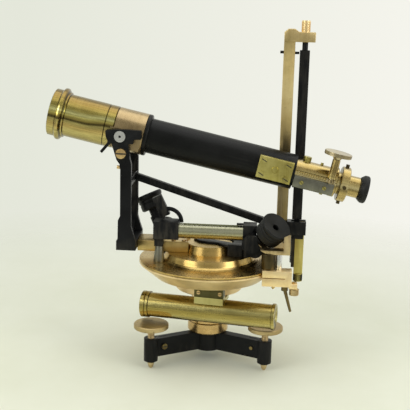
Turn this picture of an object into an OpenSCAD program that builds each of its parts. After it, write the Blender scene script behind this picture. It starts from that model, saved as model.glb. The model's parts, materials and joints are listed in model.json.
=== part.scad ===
// Auto-reducing tacheometer on a three-screw tribrach.
// Millimetres. +Z up, +X towards the eyepiece, +Y away from the side with the spirit level.
// The origin is on the vertical axis, at the mouth of the tripod socket.

/* [Tribrach] */
// Radius of the circle through the three levelling screws
foot_circle_r = 89; // [80:0.5:98]
// How far the tribrach is turned about the vertical axis, in degrees
tribrach_turn = 4.4; // [0:0.1:12]
// Depth of the three foot points under the socket's mouth
foot_drop = 15; // [12:0.5:18]
// Radius of the black hub
hub_r = 18.6; // [17.5:0.1:21]
// Height of the black hub
hub_h = 26.3; // [26:0.1:28]
// Radius of the brass collar on the hub
collar_r = 28; // [24:0.5:31]
// Radius of the levelling screws' spindles
spindle_r = 4.2; // [3.8:0.1:4.6]
// Radius of the levelling screws' disc heads
head_r = 23.5; // [18:0.5:25]
// Radius of the tripod socket's wall
socket_r = 8; // [6:0.5:8]

/* [Circle] */
// Radius of the horizontal circle
circle_r = 96.4; // [92:0.2:100]
// Height of the circle's top face
circle_z = 129.5; // [129.5:0.5:129.5]
// Radius of the bowl's flat bottom
bowl_r = 76; // [66:1:80]
// Height of the bowl's flat bottom
bowl_z = 106.5; // [104:0.5:108]
// Radius of the raised middle of the cover plate
step_r = 59.6; // [56:0.2:62]
// Height of the raised middle of the cover plate
step_z = 140.1; // [139:0.1:141]
// Radius of the cover plate's hub
top_hub_r = 31; // [28:0.5:32]

/* [Lower telescope] */
// Turn of the limb and its lower telescope about the vertical axis, in degrees
limb_turn = -9.5; // [-14:0.5:0]
// Distance from the vertical axis to the lower telescope's axis
watch_y = 46; // [45.5:0.5:50]
// Height of the lower telescope's axis
watch_z = 70; // [68:0.5:70]
// Radius of the lower telescope's tube
watch_r = 16.4; // [14:0.2:16.5]
// How far the tube is shifted along its own axis
watch_shift = 9.6; // [0:0.2:12]

/* [Telescope] */
// Trunnion axis, distance to the left of the vertical axis
trunnion_x = -119.6; // [-121:0.1:-118]
// Trunnion axis, height
trunnion_z = 298.8; // [298.8:0.1:298.8]
// Slope of the telescope at rest, eyepiece end low, in degrees
slope = 12.16; // [11:0.02:13]
// Height of the tube's axis above the trunnion axis
tube_w = 4.5; // [4:0.1:5]
// Outer radius of the black main tube
main_r = 23.5; // [22.5:0.1:23.5]
// Outer radius of the brass objective tube
objective_r = 28.5; // [27:0.1:29]
// Outer radius of the objective cell's bead
bead_r = 35.2; // [34:0.1:36.5]
// Distance from the trunnion axis to the end of the black tube
main_end = 234; // [232:0.5:234]
// Outer radius of the brass focusing body
focus_r = 18.5; // [18:0.1:18.6]

/* [Column and rule] */
// Left face of the brass column
column_x = 90; // [88:0.5:91]
// Width of the brass column
column_w = 15; // [13:0.5:15.5]
// Centre plane of column and rule, behind the telescope
rule_y = 34; // [34:0.5:36]
// Centre of the black rule
rule_x = 118.2; // [118:0.1:118.5]
// Width of the black rule
rule_w = 13.2; // [12:0.1:13.4]
// Top of the black rule
rule_top = 413.2; // [412:0.1:414]

/* [Spirit level] */
// Distance of the level in front of the vertical axis
level_y = 26; // [25:0.5:28]
// Height of the level's axis
level_z = 173.3; // [173:0.1:176]
// Radius of the level's case
level_r = 10.3; // [9:0.1:10.4]

/* [Reading microscopes] */
// Height of the elbows' axes
eye_base_z = 153.6; // [152:0.2:156]
// Lean of the right barrel from upright, in degrees
right_lean = 45; // [40:0.5:50]
// Lean of the left barrel from upright, in degrees
left_lean = 27.4; // [24:0.2:32]
// Outer radius of the right reading eyecup
reading_cup_r = 20.9; // [19:0.1:21]

/* [Hidden] */
$fn = 96;
steel = "lightgray";
brass = "#c9a45a";
old_brass = "#8f7f3c";
bronze = "#b98a63";
enamel = "#1c1c1e";
ebonite = "#26262a";
arm_turns = [90, 210, 330];
arm_w = 13;
boss_r = 9.6;
boss_z0 = -4;
boss_z1 = 28;
axle_r = 11.97;
bore_r = 12.02;
collar_top = 46.9;
slot_w = 1.2;
clamp_in = 17;
clamp_z = 15;
head_z0 = 42.6;
head_z1 = 49;
fork_x0 = -118.9;
fork_x1 = -104.4;
fork_in = 28.7;
fork_out = 36.7;
bearing_r = 7.45;
pin_r = 7.4;
beam_z1 = 155;
rule_t = 8;
gap = 0.3;
arm_z0 = 424;
arm_z1 = 437;
pinion_pitch_r = 5;
rack_pitch = 2 * PI * pinion_pitch_r / 10;
lift_x = 106.6;
lift_z = 165;
rack_x = lift_x + pinion_pitch_r;
focus_u = 282;
focus_w = 8.6;
focus_pitch_y = -19.4;
eye_feet = [[55, -20], [69, 150]];
eye_foot_rs = [9, 12];
eye_foot_zs = [140.1, 129.5];
cup_rs = [reading_cup_r, reading_cup_r - 1.9];
cup_backs = [18.2, 17];
eye_bases = [[66.9, -18.8], [81, 148]];
eye_turns = [-42, 157.6];
eye_leans = [right_lean, left_lean];
eye_reaches = [46, 52];
box_turns = [-95, 85];
box_rs = [12.5, 16];
box_shifts = [[-8.4, -4.6], [0, 0]];
saddle_x0 = -6;
saddle_x1 = 33;
lever_x = 103;
knob_x = 115.4;
clamp_y = -59;
bracket_z = 155.2;

// A ring or disc turned about the local X axis: pairs of radius and distance
module turned_x(profile) rotate([0, 90, 0]) rotate_extrude() polygon(profile);

// A plain tube about the local X axis
module tube_x(u0, u1, r_out, r_in) turned_x([[r_in, u0], [r_out, u0], [r_out, u1], [r_in, u1]]);

// Telescope frame: X along the tube towards the eye, Z square to it, origin on the trunnion axis
module along_telescope() translate([trunnion_x, 0, trunnion_z]) rotate([0, slope, 0]) children();

// The same frame, raised to the tube's own axis
module on_tube() along_telescope() translate([0, 0, tube_w]) children();

// Lower telescope frame: X along the tube
module along_watch() rotate([0, 0, limb_turn]) translate([watch_shift, -watch_y, watch_z]) children();

// A place given by its distance from the vertical axis and its turn about it
module set_out(place, z) rotate([0, 0, place[1]]) translate([place[0], 0, z]) rotate([0, 0, -place[1]]) children();

// Microscope frame: Z along the leaning barrel, origin at the elbow
module along_microscope(k) set_out(eye_bases[k], eye_base_z)
    rotate([0, 0, eye_turns[k]]) rotate([0, eye_leans[k], 0]) children();

// Outside of a microscope's foot, elbow, prism box and barrel, grown by c
module microscope_outside(k, c = 0) {
    set_out(eye_feet[k], eye_foot_zs[k]) cylinder(r = eye_foot_rs[k] + c, h = eye_base_z - eye_foot_zs[k]);
    set_out(eye_bases[k], eye_base_z) rotate([0, 0, box_turns[k]]) rotate([0, 90, 0]) {
        translate([0, 0, -9 - c]) cylinder(r = 11 + c, h = 27);
        translate([box_shifts[k][0], box_shifts[k][1], 16.6 - c]) cylinder(r = box_rs[k] + c, h = 5.4 + 2 * c);
    }
    along_microscope(k) cylinder(r = 10.35 + c, h = 25);
    along_microscope(k) cylinder(r = 8.4 + c, h = eye_reaches[k] - 4);
}

// Solid of revolution of the cover plate's upper side
module plate_solid() rotate_extrude() polygon([
    [0, circle_z - 2.5], [circle_r - 0.4, circle_z - 2.5], [circle_r, circle_z - 2.1], [circle_r, circle_z - 0.5],
    [circle_r - 0.5, circle_z], [68, circle_z], [65, circle_z + 1.2], [62.6, circle_z + 3.1],
    [61.6, step_z - 5.6], [step_r, step_z], [top_hub_r + 2, step_z], [top_hub_r, 151.3], [top_hub_r - 0.6, 151.9],
    [0, 151.9]]);

// A box from its lowest and highest corners
module block(lo, hi) translate(lo) cube(hi - lo);

// A slotted cheese head along Z, standing on z = 0
module slotted_head(r, h) difference() {
    cylinder(r = r, h = h);
    translate([-r - 1, -r * 0.15, h * 0.55]) cube([2 * r + 2, r * 0.3, h]);
}

// One arm of the tribrach along +X
module tribrach_arm() {
    rotate([90, 0, 0]) translate([0, 0, -arm_w / 2]) linear_extrude(arm_w)
        polygon([[0, 0.5], [foot_circle_r, 2], [foot_circle_r, boss_z1 - 0.8], [0, 29 - 3.2]]);
    translate([foot_circle_r, 0, boss_z0]) cylinder(r = boss_r, h = boss_z1 - boss_z0);
    translate([foot_circle_r, 0, boss_z0 - 1.6]) cylinder(r = boss_r - 2.4, h = 2);
}

module tribrach() color(enamel) difference() {
    union() {
        cylinder(r = hub_r, h = hub_h);
        for (a = arm_turns) rotate([0, 0, a + tribrach_turn]) tribrach_arm();
    }
    translate([0, 0, -1]) cylinder(r = socket_r, h = 21.1);
    translate([0, 0, 20]) cylinder(r = 14.4, h = 4.1);
    translate([0, 0, 24]) cylinder(r = 16, h = 10);
    for (a = arm_turns) rotate([0, 0, a + tribrach_turn]) {
        translate([foot_circle_r, 0, boss_z0 - 3]) cylinder(r = spindle_r + 0.05, h = 40);
        translate([foot_circle_r - 23, -slot_w / 2, boss_z0 - 3]) cube([23, slot_w, 40]);
        translate([foot_circle_r - clamp_in, 10, clamp_z]) rotate([90, 0, 0]) cylinder(r = 2.5, h = 20);
    }
}

module flanged_bush() color(brass) rotate_extrude() polygon([
    [bore_r, 24], [16, 24], [16, hub_h], [collar_r - 2, hub_h], [collar_r, hub_h + 2],
    [collar_r, collar_top - 6], [collar_r - 1.4, collar_top - 4.6], [collar_r - 1.4, collar_top - 1.4],
    [collar_r - 2.8, collar_top], [bore_r, collar_top]]);

// The screws that draw the split arms together on the spindles
module arm_clamp_screws() color(steel) for (a = arm_turns) rotate([0, 0, a + tribrach_turn])
    translate([foot_circle_r - clamp_in, 0, clamp_z]) {
        translate([0, arm_w / 2, 0]) rotate([-90, 0, 0]) slotted_head(4, 2);
        translate([0, arm_w / 2 + 0.1, 0]) rotate([90, 0, 0]) cylinder(r = 2.45, h = arm_w + 1.4);
    }

module spindle(k) color(brass) rotate([0, 0, arm_turns[k] + tribrach_turn]) translate([foot_circle_r, 0, 0])
    rotate_extrude() polygon([[0, -foot_drop], [1.5, -foot_drop], [2.9, -13.4], [3.7, -11.4], [spindle_r, -9.4],
        [spindle_r, 38], [3.45, 38], [3.45, 46], [0, 46]]);

module screw_head(k) color(bronze) rotate([0, 0, arm_turns[k] + tribrach_turn]) translate([foot_circle_r, 0, 0])
    rotate_extrude() polygon([[3.5, 38.2], [5.4, 38.2], [5.8, head_z0 - 0.6], [7.5, head_z0],
        [head_r - 0.8, head_z0], [head_r, head_z0 + 0.8], [head_r, head_z1 - 1], [head_r - 1, head_z1],
        [0, head_z1], [0, 46.3], [3.5, 46.3]]);

module limb_bowl() color(brass) rotate([0, 0, limb_turn]) rotate_extrude() polygon([
    [8, bowl_z], [bowl_r - 1.5, bowl_z], [bowl_r, bowl_z + 1], [circle_r - 1, circle_z - 5.7],
    [circle_r, circle_z - 5], [circle_r, circle_z - 2.9], [92, circle_z - 2.9], [80, 115], [74, 115],
    [72, 124.5], [53, 124.5], [51, 112], [24, 112], [20, 120], [20, 126.3], [8, 126.3]]);

module limb_axle() color(brass) rotate([0, 0, limb_turn]) rotate_extrude() polygon([
    [0, 20.6], [6, 20.6], [6, 23.7], [axle_r, 23.7], [axle_r, 47], [22, 47], [22, 86.5], [23.5, 88],
    [44.5, 88], [45.5, 89], [45.5, bowl_z - 1.6], [47, bowl_z], [40.5, bowl_z], [40.5, 92], [25, 92],
    [25, bowl_z], [8, bowl_z], [8, 38], [0, 38]]);

module divided_ring() color("silver") translate([0, 0, 124.5]) difference() {
    cylinder(r = 71, h = 1.8);
    translate([0, 0, -1]) cylinder(r = 54, h = 4);
}

module limb_axle_nut() color(steel) translate([0, 0, 20.6]) difference() {
    cylinder(r = 13.8, h = 3.1);
    translate([0, 0, -1]) cylinder(r = 6, h = 6);
    for (a = [0, 180]) rotate([0, 0, a]) translate([10, 0, -1]) cylinder(r = 1.4, h = 6);
}

module watch_saddle() color(old_brass) difference() {
    union() {
        rotate([0, 0, limb_turn]) block([saddle_x0, -60, watch_z], [saddle_x1, -45.6, bowl_z]);
        rotate([0, 0, limb_turn]) block([saddle_x0, -47, watch_z + 6], [saddle_x1, -21, 87.9]);
        along_watch() tube_x(saddle_x0 - watch_shift, saddle_x1 - watch_shift, watch_r + 2.2, watch_r);
    }
    along_watch() rotate([0, 90, 0]) cylinder(r = watch_r + 0.02, h = 90, center = true);
    rotate([0, 0, limb_turn]) block([-50, -90, 0], [50, 0, watch_z + 12.4]);
    translate([0, 0, 60]) cylinder(r = 22.1, h = 30);
    translate([0, 0, 86.3]) cylinder(r1 = 22.1, r2 = 23.9, h = 1.8);
    translate([0, 0, 88]) cylinder(r = 45.6, h = bowl_z - 88);
    translate([0, 0, bowl_z - 1.7]) cylinder(r1 = 45.6, r2 = 47.4, h = 1.8);
}

module watch_saddle_screws() color(brass) rotate([0, 0, limb_turn]) for (x = [saddle_x0 + 6, saddle_x1 - 4])
    translate([x, -60, bowl_z - 8]) rotate([90, 0, 0]) slotted_head(2.6, 1.6);

module watch_tube() color(old_brass) along_watch() tube_x(-84, 88, watch_r, watch_r - 1.8);

// Front bead, lens ring and eyepiece ring
module watch_rings() color(old_brass) along_watch() {
    turned_x([[watch_r, -84], [watch_r + 1.4, -84], [watch_r + 1.4, -80], [watch_r, -79.6]]);
    turned_x([[13, -91], [watch_r + 0.4, -91], [watch_r + 1.4, -90.2], [watch_r + 1.4, -86], [watch_r + 0.2, -84.2],
        [watch_r, -84.1], [14.6, -84.1], [14.6, -88], [13, -88]]);
    turned_x([[4, 88.1], [watch_r + 1.4, 88.1], [watch_r + 1.4, 91.6], [watch_r + 0.6, 92.4], [watch_r - 2.4, 92.4],
        [8, 90.4], [4, 90.4]]);
}

module watch_lens() color("lightcyan", 0.4) along_watch() turned_x([[0, -89], [8, -88.6], [14.5, -87.4], [14.5, -85.4],
    [0, -85.4]]);

module cover_plate() color(brass) difference() {
    plate_solid();
    translate([0, 0, circle_z - 3]) difference() {
        cylinder(r = 56, h = 9.5);
        translate([0, 0, -1]) cylinder(r = 24, h = 12);
    }
    translate([0, 0, circle_z - 3]) cylinder(r = 7.95, h = 21);
    for (place = eye_feet) set_out(place, circle_z - 5) cylinder(r = 3, h = 20);
}

module alidade_axle() color(steel) translate([0, 0, 40]) cylinder(r = 7.95, h = 107);

module fork_beam() color(brass) difference() {
    block([-97.8, -18, step_z], [-23, 18, beam_z1]);
    translate([0, 0, step_z - 1]) cylinder(r = top_hub_r + 2.3, h = 20);
    block([-98, -30, step_z - 1], [-61, -18 + 1.4, step_z + 1.6]);
    microscope_outside(1, 0.05);
}

// One leg of the fork, as an outline in X and Z
module fork_leg() rotate([90, 0, 0]) linear_extrude(fork_out - fork_in) polygon([
    [-124, 145.1], [-97.8, 145.1], [-97.8, 157], [-101, 166], [fork_x1, 178], [fork_x1, 262], [-106.5, 270],
    [-108.5, 289.2], [-130.5, 289.2], [-127, 278], [-124, 268], [-119.8, 262], [fork_x0, 255],
    [fork_x0, 192], [-121.8, 186], [-122.2, 159], [-124, 158]]);

module fork() color(enamel) {
    translate([0, -fork_in, 0]) fork_leg();
    translate([0, fork_out, 0]) fork_leg();
    block([-124, -fork_in - 0.1, 145.1], [-97.8, fork_in + 0.1, 157]);
    block([-117, -fork_in - 0.1, 232], [-105.2, fork_in + 0.1, 243]);
    for (y = [-1, 1]) rotate([90, 0, 90]) translate([0, 0, -114]) linear_extrude(6)
        polygon([[y * fork_in, 156], [y * (fork_in - 13), 156], [y * fork_in, 172]]);
    for (y = [-fork_out, fork_out + 2]) translate([-117.5, y, 277]) rotate([90, 0, 0]) cylinder(r = 8.5, h = 2);
}

// Trunnion bearings bolted on the legs, the front one with its hook pin
module bearing_blocks() color(enamel) {
    translate([-133, 4 - fork_out, 291.2]) rotate([0, -139.6, 0]) cylinder(r = 2, h = 18.6);
    for (y = [-fork_in, fork_out]) bearing_block(y);
}

module bearing_block(y) difference() {
    translate([0, y, 0]) rotate([90, 0, 0]) linear_extrude(fork_out - fork_in) polygon([
        [-132, 289.2], [-102.4, 289.2], [-101.4, 295.2], [-92.6, 295.4], [-91.5, 296.5], [-91.5, 306],
        [-92.6, 307.2], [-112, 307.9], [-127, 307.9], [-137.6, 306.6], [-138.9, 305.4], [-138.4, 299], [-135.5, 292]]);
    translate([trunnion_x, y + 1, trunnion_z]) rotate([90, 0, 0]) cylinder(r = bearing_r, h = 12);
}

module brace() color(enamel) difference() {
    translate([-105.2, 9, 232.6]) rotate([0, 17.5, 0]) translate([-4, 0, 0]) cube([212, 10, 9.3]);
    block([-130, 0, 200], [-105.2, 30, 260]);
    block([column_x, 0, 100], [130, 30, 260]);
}

module column_beam() color(enamel) difference() {
    block([23, -14, step_z], [88, 40, beam_z1]);
    translate([0, 0, step_z - 1]) cylinder(r = top_hub_r + 2.3, h = 20);
    microscope_outside(0, 0.05);
}

module column() color(brass) difference() {
    union() {
        block([column_x, rule_y - 6, 168], [column_x + column_w, rule_y + 6, arm_z1 - 1]);
        block([88, 8, 141], [111, 40, 170]);
        translate([0, rule_y + 8, 0]) rotate([90, 0, 0]) linear_extrude(16) polygon([
            [column_x, arm_z0], [131.3, arm_z0], [131.5, arm_z1], [110, arm_z1], [104, arm_z1 + 4],
            [95.5, arm_z1 + 4], [column_x, arm_z1 - 0.6]]);
    }
    block([97.9, 0, 152.5], [120, 45, 178.5]);
    translate([rule_x, rule_y, arm_z0 - 1]) cylinder(r = 4.15, h = 30);
    block([109.6, rule_y - 5, 100], [112, rule_y + 5, 160]);
}

module rule_guide() color(enamel) difference() {
    union() {
        block([97.9, rule_y - 9, 152.5], [107, rule_y + 9, 178.5]);
        block([106.9, rule_y - 9, 160], [131, rule_y + 9, 178.5]);
        block([112.7, rule_y - 7, 154], [128, rule_y + 7, 160.1]);
    }
    block([110.3, rule_y - 4.3, 150], [129.5, rule_y + 4.3, 180]);
    translate([lift_x, rule_y + 4.3, lift_z]) rotate([90, 0, 0]) cylinder(r = 6.7, h = 8.6);
    translate([lift_x, rule_y + 12, lift_z]) rotate([90, 0, 0]) cylinder(r = 2.55, h = 20);
}

// Screws, pins and studs that hold the upper part together
module alidade_screws() color(brass) {
    translate([-117.5, -fork_out - 2, 277]) rotate([90, 0, 0]) slotted_head(6.6, 4);
    translate([-117.5, fork_out + 2, 277]) rotate([-90, 0, 0]) slotted_head(6.6, 4);
    translate([-119.7, -32.6, 257.6]) rotate([0, -90, 0]) slotted_head(2.3, 4);
    difference() {
        translate([-67, -level_y, circle_z]) cylinder(r1 = 7.5, r2 = 5, h = 22.4);
        plate_solid();
    }
    for (y = [-14, 14], z = [148, 153]) translate([-124, y, z]) rotate([0, -90, 0]) slotted_head(2.3, 1.2);
    for (x = [-49, -35], y = [-11, 11]) translate([x, y, beam_z1]) slotted_head(3, 1.6);
    for (x = [36, 50], y = [24, 34]) translate([x, y, beam_z1]) slotted_head(3, 1.6);
    translate([column_x - 4.6, rule_y, 410]) rotate([0, 90, 0]) cylinder(r = 1.9, h = 4.6);
    translate([column_x + column_w, rule_y, 409.4]) rotate([0, 90, 0]) cylinder(r = 1.7, h = 5.8);
    for (z = [158, 173]) translate([column_x + 0.8, 8, z - 8]) rotate([90, 0, 0]) slotted_head(2.8, 1.6);
}

module level_carrier() color(enamel) difference() {
    union() {
        block([-74, -level_y - 11.8, 163], [-40.4, -level_y + 11.8, 186.6]);
        block([-73, -level_y - 7.6, 152], [-61, -level_y + 7.6, 164]);
        block([45.4, -level_y - 11.2, 153], [63.5, -level_y + 11.2, 186]);
        block([36.6, -level_y - 5, 184.8], [46, -level_y + 1, 186.6]);
        translate([0, 0, step_z]) linear_extrude(15.9) polygon([[25.5, -25.5], [45, -29], [45, -15], [25.5, -15]]);
        translate([0, 0, 152.1]) linear_extrude(2.8)
            polygon([[29, -26], [30, -9], [10, 1], [-16, 12], [-23, 10], [-14.8, -4], [-2, -10.8], [10.3, -11.8], [20, -22]]);
        translate([-56.3, -14, 182]) rotate([90, 0, 0]) rotate_extrude(angle = 104) translate([17.7, 0]) circle(r = 2.8);
        translate([-66.3, -14, 203.2]) rotate([0, -26, 0]) translate([-6.3, -5, -14.5]) cube([12.6, 10, 29]);
    }
    translate([-52, -level_y, level_z]) rotate([0, 90, 0]) cylinder(r = level_r + 0.02, h = 106);
    microscope_outside(0, 0.05);
    eyecup_room();
    plate_solid();
}

module level_case() color("#a9a483") translate([0, -level_y, level_z]) difference() {
    tube_x(-52, 54, level_r, 7.9);
    block([-34, -4.6, 2], [38, 4.6, 12]);
}

module level_vial() color("#b9c4a0") translate([0, -level_y, level_z]) tube_x(-48, 50, 7.8, 0.001);

// Front bracket: a ledge over the posts, a round cheek behind the right eyecup and an arm back to the column's foot
// Clear room round the right eyecup
module eyecup_room() along_microscope(0) {
    translate([0, 0, 21]) cylinder(r = reading_cup_r - 1, h = 40);
    translate([0, 0, 40.5]) cylinder(r = reading_cup_r + 0.7, h = 40);
}

module clamp_bracket() color(brass) difference() {
    union() {
        translate([83, -40, bracket_z + 20]) rotate([90, 0, 0]) cylinder(r = 20, h = 23);
        block([83, -63, bracket_z], [108, -40, 182]);
        block([94, -48, bracket_z], [107.5, 8, 164]);
    }
    block([60, -64, 160.4], [99.5, -46.9, 200]);
    block([60, -64, 176], [80, -38, 200]);
    microscope_outside(0, 0.1);
    eyecup_room();
}

module clamp_posts() {
    color(steel) translate([94.2, -56, 134.2]) cylinder(r = 4.1, h = bracket_z - 134.2);
    color(bronze) translate([80.5, -56, 134.2]) cylinder(r = 9.3, h = bracket_z - 134.2);
}

// The clamp grips the circle's edge in its slit
module clamp_block() color(brass) difference() {
    union() {
        block([73, -68, 113.4], [111.5, -50, 134.2]);
        block([108, -66, 110.4], [119.2, -52, 117]);
        translate([88, -61, 108.6]) cylinder(r1 = 1.4, r2 = 4.2, h = 5);
    }
    rotate_extrude() polygon([[0, 105.6], [bowl_r + 0.4, 105.6], [bowl_r + 0.8, 106.8], [circle_r - 0.5, circle_z - 6.2],
        [circle_r + 0.5, circle_z - 5.2], [circle_r + 0.5, circle_z + 0.6], [0, circle_z + 0.6]]);
    block([70, -69, 123.9], [103, -40, 125.1]);
    translate([lever_x, clamp_y, 108]) cylinder(r = 3.05, h = 12);
    translate([knob_x, clamp_y, 100]) cylinder(r = 2.55, h = 30);
}

module clamp_lever() color(brass) {
    translate([lever_x, clamp_y, 109]) cylinder(r = 3, h = 10);
    translate([lever_x, clamp_y, 106.4]) cylinder(r = 4.4, h = 6.7);
    translate([lever_x, clamp_y, 108.4]) rotate([0, 164, 0]) cylinder(r1 = 2.4, r2 = 1.7, h = 32);
}

module tangent_screw() color(old_brass) translate([knob_x, clamp_y, 0]) {
    translate([0, 0, 101]) cylinder(r = 2.5, h = 17.6);
    translate([0, 0, 101]) cylinder(r = 6, h = 8);
    translate([0, 0, 109]) cylinder(r1 = 5, r2 = 3.4, h = 1.1);
}

// Elbow housings, prism boxes and leaning barrels of the two reading microscopes
module microscopes() color(enamel) for (k = [0, 1]) difference() {
    microscope_outside(k);
    plate_solid();
    along_microscope(k) translate([0, 0, 6]) cylinder(r = 6.2, h = 60);
    set_out(eye_feet[k], circle_z - 1) cylinder(r = 3, h = 18);
}

// Black eyecup of a reading microscope, sliding on the barrel
module reading_eyecup(k) color(ebonite) along_microscope(k) translate([0, 0, eye_reaches[k]]) rotate_extrude()
    let (r = cup_rs[k], b = cup_backs[k]) polygon([[8.44, -b], [15, -b], [r - 2.2, 1.4 - b], [r - 1.8, 2.2 - b],
        [r - 1.8, -8], [r - 2.6, -7.2], [r - 2.6, -6.2], [r - 1.4, -5.4], [r - 1.4, -3], [r - 2, -2.2],
        [r - 0.8, -0.6], [r, 1.5], [r, 3.8], [r - 1, 5.4], [10, 2.8], [4.6, 1.6], [4.6, -1], [8.44, -1]]);

module rule() color(enamel) {
    block([rule_x - rule_w / 2, rule_y - rule_t / 2, 181.4], [rule_x + rule_w / 2, rule_y + rule_t / 2, rule_top]);
    translate([rule_x, rule_y, rule_top - 1]) cylinder(r = 3.85, h = 28);
    block([114.4, rule_y - 3, 177], [122, rule_y + 3, 181.5]);
}

module rule_foot() color(brass) {
    block([117, rule_y - rule_t / 2, 103], [129.2, rule_y + rule_t / 2, 177]);
    translate([123.2, rule_y, 91.8]) cylinder(r = 6.3, h = 11.2);
}

// Rack on the left of the rule's foot, teeth towards the column
module rule_rack() color("#3a3a34") {
    block([rack_x + 1.2, rule_y - 3.7, 112], [117, rule_y + 3.7, 176]);
    for (k = [-15:3]) translate([0, rule_y + 3.7, lift_z + (k + 0.5) * rack_pitch]) rotate([90, 0, 0])
        linear_extrude(7.4) polygon([[rack_x + 1.3, -0.95], [rack_x + 1.3, 0.95], [rack_x - 0.8, 0.3], [rack_x - 0.8, -0.3]]);
}

// Knurled cap over the rule's rod
module rule_cap() color(brass) translate([rule_x, rule_y, arm_z1]) difference() {
    cylinder(r = 5.6, h = 15.3);
    translate([0, 0, -1]) cylinder(r = 4.15, h = 15);
}

// A ten-tooth pinion along Z
module pinion(h) {
    cylinder(r = 3.7, h = h);
    for (k = [0:9]) rotate([0, 0, 36 * k]) linear_extrude(h)
        polygon([[3.4, -0.85], [5, -0.62], [5.8, -0.25], [5.8, 0.25], [5, 0.62], [3.4, 0.85]]);
}

module lift_pinion() color(old_brass) translate([lift_x, rule_y + 3.8, lift_z]) rotate([90, 0, 0]) {
    pinion(7.6);
    translate([0, 0, -22]) cylinder(r = 2.5, h = 33.5);
    translate([0, 0, -22]) cylinder(r = 9, h = 8);
    translate([0, 0, -14]) cylinder(r = 5, h = 4);
}

// The slider's pin works in the groove of the telescope's rear guide
pin_x = rule_x;
pin_z = trunnion_z - (rule_x - trunnion_x) * tan(slope);
module slider() color(bronze) {
    difference() {
        block([rule_x - 9, rule_y - 8.4, pin_z - 20], [rule_x + 9, rule_y + 7.6, pin_z + 20]);
        block([rule_x - rule_w / 2 - gap, rule_y - rule_t / 2 - gap, pin_z - 26],
            [rule_x + rule_w / 2 + gap, rule_y + rule_t / 2 + gap, pin_z + 28]);
    }
    translate([pin_x, rule_y - 8, pin_z]) rotate([90, 0, 0]) cylinder(r = 2.8, h = 6);
}

module objective_cell() color(old_brass) on_tube() turned_x([
    [27, -100], [30.6, -100], [31.6, -99.2], [31.6, -90.4], [bead_r - 2.2, -89.6], [bead_r - 0.4, -88], [bead_r, -86],
    [bead_r - 0.6, -84], [bead_r - 2.6, -82.6], [31, -81.6], [30.6, -79.5], [objective_r + 0.02, -78.6],
    [objective_r + 0.02, -88], [28, -88], [28, -97.6], [27, -97.6]]);

module objective_lens() color("lightcyan", 0.4) on_tube() turned_x([
    [0, -97], [9, -96.6], [18, -95.4], [24, -94], [27.9, -92.4], [27.9, -89], [0, -89]]);

module objective_tube() color(old_brass) on_tube() turned_x([
    [26.4, -87.8], [objective_r, -87.8], [objective_r, -24.8], [27.6, -24.4], [27.6, -23.8], [28.3, -23.4],
    [28.3, -12.8], [27.6, -12.4], [27.6, -12], [21.6, -12], [21.6, -26], [26.4, -27]]);

module trunnion_collar() color(bronze) difference() {
    union() {
        on_tube() turned_x([[main_r, -11.8], [27.4, -11.8], [28, -11.2], [28, 28.2], [27.4, 28.8], [main_r, 28.8]]);
        along_telescope() block([-16, -28.4, -16], [27, 28.4, 9]);
    }
    on_tube() rotate([0, 90, 0]) cylinder(r = main_r, h = 200, center = true);
    on_tube() rotate([0, -90, 0]) translate([0, 0, 11.9]) cylinder(r = 28.5, h = 20);
    along_telescope() rotate([90, 0, 0]) cylinder(r = pin_r, h = 80, center = true);
}

module trunnion_pins() color(steel) along_telescope() for (s = [-1, 1]) rotate([90, 0, 0]) difference() {
    translate([0, 0, s > 0 ? 23.8 : -37.8]) cylinder(r = pin_r, h = 14);
    translate([0, 0, s > 0 ? 34.8 : -38]) cylinder(r = 1.7, h = 3.2);
    translate([0, tube_w, 0]) rotate([0, 90, 0]) cylinder(r = main_r, h = 40, center = true);
}

module main_tube() color(enamel) on_tube() turned_x([
    [main_r - 2, -11.6], [main_r, -11.6], [main_r, 29], [28, 29], [28, 32.4], [27, 33.8], [main_r, 34.4],
    [main_r, main_end], [main_r - 2, main_end]]);

// Flat pad on the front of the tube
module side_plate() color(brass) difference() {
    along_telescope() block([184.5, -25.6, -9.6], [230.5, -14, 19.9]);
    on_tube() rotate([0, 90, 0]) cylinder(r = main_r, h = 900, center = true);
    along_telescope() block([180, -14.1, -20], [240, 30, 30]);
}

module telescope_screws() color(brass) {
    along_telescope() {
        for (u = [190.8, 224], w = [-4.2, 14.6]) translate([u, -25.6, w]) rotate([90, 20, 0]) slotted_head(3.9, 1.5);
        translate([207.5, -25.6, 5.2]) rotate([90, 0, 0]) cylinder(r1 = 4.6, r2 = 3.8, h = 1.6);
        for (u = [245.4, 276.3]) translate([u, -22.4, -3.2]) rotate([90, 35, 0]) slotted_head(2.6, 1.2);
    }
    on_tube() difference() {
        union() {
            translate([247, 0, focus_r - 2]) cylinder(r = 5.1, h = 8.2);
            translate([267.6, 0, focus_r - 1]) cylinder(r = 2, h = 3.6);
            translate([276, 0, -focus_r - 2.2]) cylinder(r = 2.4, h = 3);
        }
        rotate([0, 90, 0]) cylinder(r = focus_r + 0.03, h = 900, center = true);
    }
}

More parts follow.
